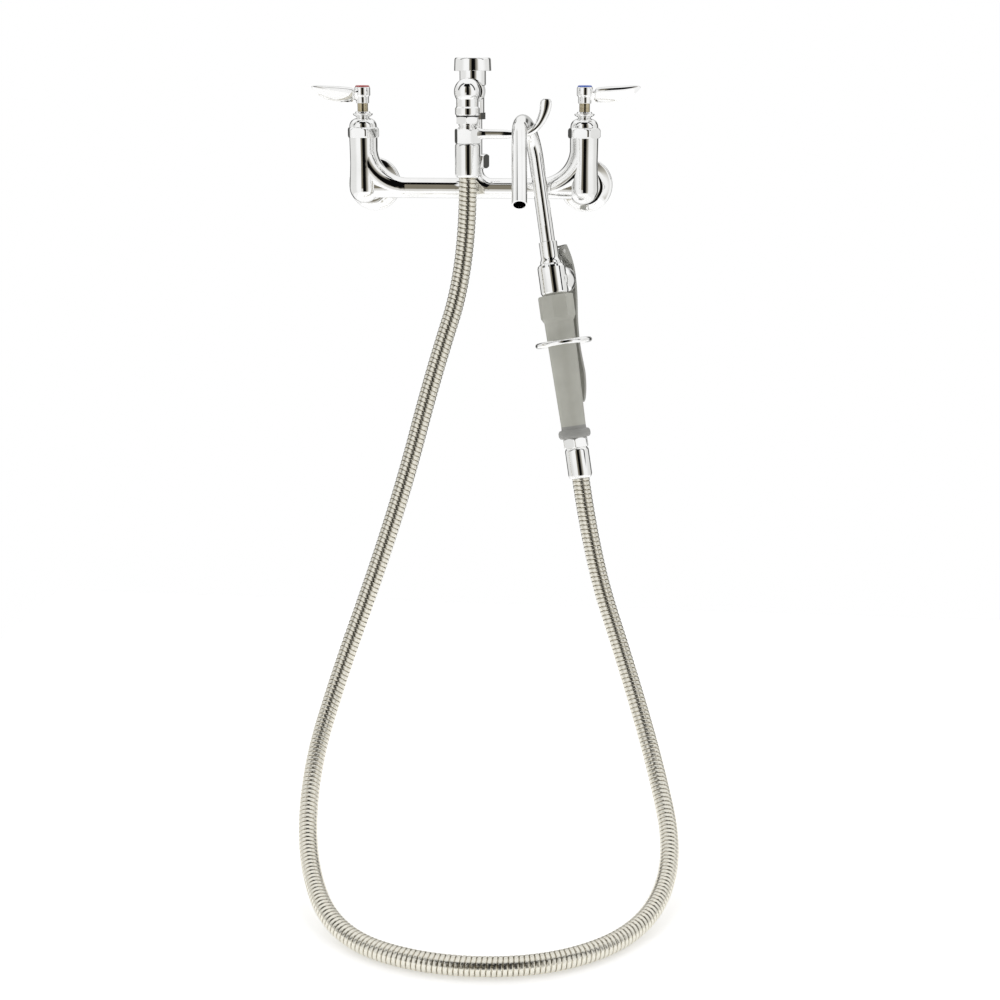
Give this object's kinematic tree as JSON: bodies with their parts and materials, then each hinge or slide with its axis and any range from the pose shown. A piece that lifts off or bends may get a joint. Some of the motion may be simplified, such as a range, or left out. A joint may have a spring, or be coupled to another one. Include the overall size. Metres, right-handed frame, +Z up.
{
  "type": "wall mount pre-rinse faucet",
  "caption": "Wall-mounted mixing faucet with two lever valves, vacuum breaker, nozzle hook, flexible metal hose and hand-held squeeze spray valve.",
  "frame": {"origin": "on the wall face, midway between the two water inlets, at the height of their axes", "axes": "+Y into the wall, +Z up, +X from the hot valve to the cold valve; the user stands on the -Y side"},
  "size_m": [0.3454, 0.4616, 0.6838],
  "materials": {
    "chrome": "polished",
    "brass": "satin",
    "hose_metal": "satin",
    "steel": "satin",
    "grip_grey": "matte",
    "lever_grey": "satin",
    "bead_rubber": "matte",
    "seal_rubber": "matte",
    "fibre": "matte",
    "ceramic": "smooth",
    "acetal": "smooth",
    "red": "gloss",
    "blue": "gloss"
  },
  "bodies": {
    "faucet": {"hot_inlet_flange": "chrome", "hot_coupling_nut": "chrome", "hot_inlet_washer": "fibre", "hot_fixed_disc": "ceramic", "hot_cartridge": "brass", "hot_bonnet": "chrome", "hot_packing_nut": "chrome", "cold_inlet_flange": "chrome", "cold_coupling_nut": "chrome", "cold_inlet_washer": "fibre", "cold_fixed_disc": "ceramic", "cold_cartridge": "brass", "cold_bonnet": "chrome", "cold_packing_nut": "chrome", "faucet_body": "chrome", "riser_gasket": "fibre", "riser_tube": "chrome", "riser_nut": "chrome", "breaker_body": "chrome", "air_seat": "brass", "breaker_cap": "chrome", "outlet_elbow": "chrome", "outlet_adapter": "chrome", "nozzle_hook": "chrome", "hose_washer": "seal_rubber", "adapter_seal": "seal_rubber", "upper_ferrule": "chrome", "hose": "hose_metal"},
    "hot_lever": {"hot_stem": "brass", "hot_moving_disc": "ceramic", "hot_lever": "chrome", "hot_lever_screw": "steel", "hot_index_button": "red"},
    "cold_lever": {"cold_stem": "brass", "cold_moving_disc": "ceramic", "cold_lever": "chrome", "cold_lever_screw": "steel", "cold_index_button": "blue"},
    "float": {"breaker_float": "acetal", "float_seal": "seal_rubber"},
    "spray_valve": {"hook_nozzle": "chrome", "nozzle_coupling": "chrome", "valve_body": "chrome", "poppet_seat": "brass", "stem_bonnet": "chrome", "stem_seal": "seal_rubber", "poppet_spring": "steel", "handle_tube": "steel", "grip": "grip_grey", "grip_bead": "bead_rubber", "swivel_nut": "chrome", "lower_ferrule": "chrome", "lever_pin": "steel"},
    "squeeze": {"squeeze_lever": "lever_grey"},
    "poppet": {"poppet": "steel", "poppet_seal": "seal_rubber"},
    "ring": {"holddown_ring": "chrome"}
  },
  "joints": [
    {"name": "hot_valve_turn", "type": "hinge", "parent": "faucet", "child": "hot_lever", "pos_m": [-0.1016, -0.057, 0.08], "axis": [0, 0, 1], "range_deg": [-35, 55]},
    {"name": "cold_valve_turn", "type": "hinge", "parent": "faucet", "child": "cold_lever", "pos_m": [0.1016, -0.057, 0.08], "axis": [0, 0, -1], "range_deg": [0, 90]},
    {"name": "float_rise", "type": "slide", "parent": "faucet", "child": "float", "axis": [0, 0, 1], "range_m": [0, 0.003]},
    {"name": "lift_off", "type": "slide", "parent": "faucet", "child": "spray_valve", "axis": [-0.1, -0.08, 0.9918], "range_m": [0, 0.07]},
    {"name": "squeeze_trigger", "type": "hinge", "parent": "spray_valve", "child": "squeeze", "pos_m": [0.08042, -0.07432, -0.05569], "axis": [-0.842, 0.4861, -0.2341], "range_deg": [0, 2], "stiffness_Nm_per_rad": 12, "springref_deg": -1.15},
    {"name": "poppet_push", "type": "slide", "parent": "spray_valve", "child": "poppet", "axis": [-0.5151, -0.8534, 0.0804], "range_m": [0, 0.001]},
    {"name": "ring_slide", "type": "slide", "parent": "spray_valve", "child": "ring", "axis": [0.1607, -0.1883, -0.9689], "range_m": [-0.02, 0.025]}
  ],
  "couplings": [
    {"joint": "poppet_push", "follows": "squeeze_trigger", "m_per_rad": 0.026}
  ]
}
